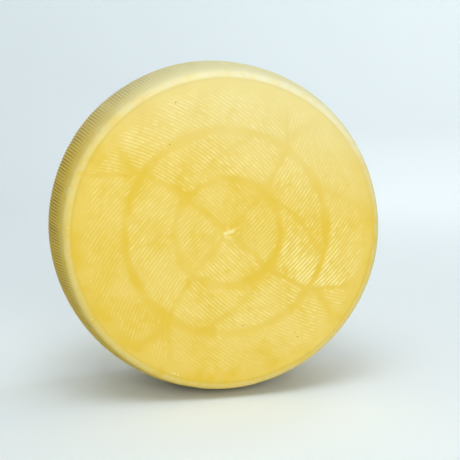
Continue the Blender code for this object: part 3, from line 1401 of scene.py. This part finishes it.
@dataclass
class CurdFlakes(RindBits):
    """Thin flakes of dried curd on the worn corners.

    The front ones are where the wheel has them. Smaller ones are scattered round both corners.
    """

    seed: int = 31
    finish: DryCurd = DryCurd()
    sides: int = 7
    slab_radius: float = 0.9
    slab_height: float = 1.4
    broken_edge: float = 0.22
    raggedness: float = 0.16
    front: tuple[Four, ...] = (
        (-0.0114, 0.1461, 0.0018, 0.0006),
        (-0.1420, 0.0446, 0.0012, 0.0008),
        (-0.1446, 0.0101, 0.0014, 0.0007),
        (-0.0521, -0.1296, 0.0016, 0.0008),
        (-0.0488, -0.1312, 0.0009, 0.0007),
        (-0.0546, -0.1280, 0.0008, 0.0006),
    )
    front_height: float = 0.0002
    corner_count: int = 12
    corner_radius: Two = (0.1425, 0.1490)
    corner_length: Two = (0.0005, 0.0010)
    corner_width_share: Two = (0.4, 0.8)
    corner_height: float = 0.00015

    def build(self) -> Piece:
        """Models one flake and lays copies of it on the corners.

        Returns:
            All flakes as one piece.
        """
        pattern = self.model_flake()
        flakes = []
        for across, up, length, width in self.front:
            place = self.spot_on_side(Side.FRONT, across, up)
            turn = self.dice.uniform(0, math.tau)
            flakes.append(self.set_copy(pattern, place, (length, width, self.front_height), turn))
        for side in Side:
            for _ in range(self.corner_count):
                turn, radius = self.dice.uniform(0, math.tau), self.dice.uniform(*self.corner_radius)
                place = self.spot_on_side(side, radius * math.cos(turn), radius * math.sin(turn))
                length = self.dice.uniform(*self.corner_length)
                width = length * self.dice.uniform(*self.corner_width_share)
                sizes = (length, width, self.corner_height)
                flakes.append(self.set_copy(pattern, place, sizes, self.dice.uniform(0, math.tau)))
        return self.finish_bits(pattern, flakes, "curd_flakes", self.finish.make())

    def model_flake(self) -> Piece:
        """Models a ragged flake of unit radius: a low seven-sided slab with broken edges.

        Returns:
            The flake.
        """
        deselect_all()
        bpy.ops.mesh.primitive_cylinder_add(vertices=self.sides, radius=self.slab_radius, depth=self.slab_height)
        with edit_mode():
            bpy.ops.mesh.bevel(offset=self.broken_edge, segments=1, affect="EDGES")
            bpy.ops.mesh.select_all(action="SELECT")
            bpy.ops.transform.vertex_random(offset=self.raggedness, seed=5)
        return bpy.context.object


@dataclass
class PaperSweep:
    """A round floor of paper whose rim curves up into a wall all round."""

    finish: StudioPaper = StudioPaper()
    radius: float = 2.6
    height: float = 1.7
    curve: float = 0.9
    curve_steps: int = 16
    sharp_angle: float = math.radians(60.0)
    steps: int = 128
    drop: float = 0.0002

    def build(self) -> Piece:
        """Builds the sweep.

        Returns:
            The sweep.
        """
        deselect_all()
        bpy.ops.mesh.primitive_circle_add(
            vertices=self.steps, radius=self.radius, fill_type="NGON", location=(0.0, 0.0, -self.drop)
        )
        sweep = bpy.context.object
        sweep.name = "paper_sweep"
        apply_place(sweep)
        with edit_mode():
            bpy.ops.mesh.region_to_loop()
            bpy.ops.mesh.extrude_edges_move(TRANSFORM_OT_translate={"value": (0.0, 0.0, self.height)})
        bevel = sweep.modifiers.new("floor_curve", "BEVEL")
        bevel.width = self.curve
        bevel.segments = self.curve_steps
        bevel.limit_method = "ANGLE"
        bevel.angle_limit = self.sharp_angle
        bpy.ops.object.modifier_apply(modifier=bevel.name)
        bpy.ops.object.shade_smooth()
        sweep.data.materials.append(self.finish.make())
        return sweep


@dataclass(frozen=True)
class SoftBox:
    """A square soft lamp aimed at a point."""

    name: str
    place: Three
    aim: Three
    width: float
    power: float
    tone: Three

    def build(self) -> Piece:
        """Builds the lamp.

        Returns:
            The lamp.
        """
        lamp = bpy.data.lights.new(self.name, "AREA")
        lamp.shape = "SQUARE"
        lamp.size = self.width
        lamp.energy = self.power
        lamp.color = self.tone
        holder = add_object(lamp)
        holder.location = self.place
        holder.rotation_euler = (Vector(self.aim) - Vector(self.place)).to_track_quat("-Z", "Y").to_euler()
        return holder


@dataclass
class Studio:
    """The paper, the lamps, the sky light and the camera."""

    lamps: tuple[SoftBox, ...] = (
        SoftBox("key_lamp", (-0.05, -2.25, 0.90), (0.0, 0.0, 0.16), 0.8, 15.8, (1.0, 0.992, 0.985)),
        SoftBox("top_lamp", (0.20, -0.40, 1.7), (0.05, 0.0, 0.2), 1.0, 5.2, (1.0, 1.0, 1.0)),
        SoftBox("floor_lamp", (-0.28, -0.82, 1.6), (-0.32, -0.34, 0.0), 0.9, 8.5, (0.91, 0.965, 1.0)),
        SoftBox("back_lamp", (0.80, 1.70, 1.00), (0.0, 0.0, 0.16), 0.9, 2.8, (1.0, 0.99, 0.96)),
        SoftBox("paper_lamp", (1.2, 0.9, 2.2), (1.1, 2.6, 0.95), 1.2, 19.0, (1.0, 1.0, 1.0)),
    )
    sky_tone: Four = (0.93, 0.97, 1.0, 1.0)
    sky_strength: float = 0.30
    camera_place: Three = (-0.1791, -0.9432, 0.2834)
    camera_turn: float = math.radians(15.03)
    camera_dip: float = math.radians(7.78)
    camera_lens: float = 76.1
    camera_sensor: float = 36.0
    camera_shift: float = -0.1216

    def build(self) -> None:
        """Builds the studio."""
        PaperSweep().build()
        for lamp in self.lamps:
            lamp.build()
        self.light_sky()
        self.set_camera()
        bpy.context.scene.view_settings.view_transform = "Standard"

    def light_sky(self) -> None:
        """Makes the even pale light that comes from all round."""
        world = bpy.data.worlds.new("pale_sky")
        world.use_nodes = True
        sky = world.node_tree.nodes["Background"]
        sky.inputs["Color"].default_value = self.sky_tone
        sky.inputs["Strength"].default_value = self.sky_strength
        bpy.context.scene.world = world

    def set_camera(self) -> None:
        """Makes the camera and looks through it."""
        camera = bpy.data.cameras.new("camera")
        camera.lens = self.camera_lens
        camera.sensor_width = self.camera_sensor
        camera.shift_x = self.camera_shift
        holder = add_object(camera)
        holder.location = self.camera_place
        holder.rotation_euler = (QUARTER_TURN - self.camera_dip, 0.0, -self.camera_turn)
        bpy.context.scene.camera = holder


def main() -> None:
    """Builds the wheel and its studio."""
    logging.basicConfig(level=logging.INFO, format="%(name)s: %(message)s")
    Studio().build()
    body = WheelBody()
    report_piece(CheeseRind(body).build())
    report_piece(PepperSpecks(body).build())
    report_piece(CurdFlakes(body).build())


if __name__ == "__main__":
    main()
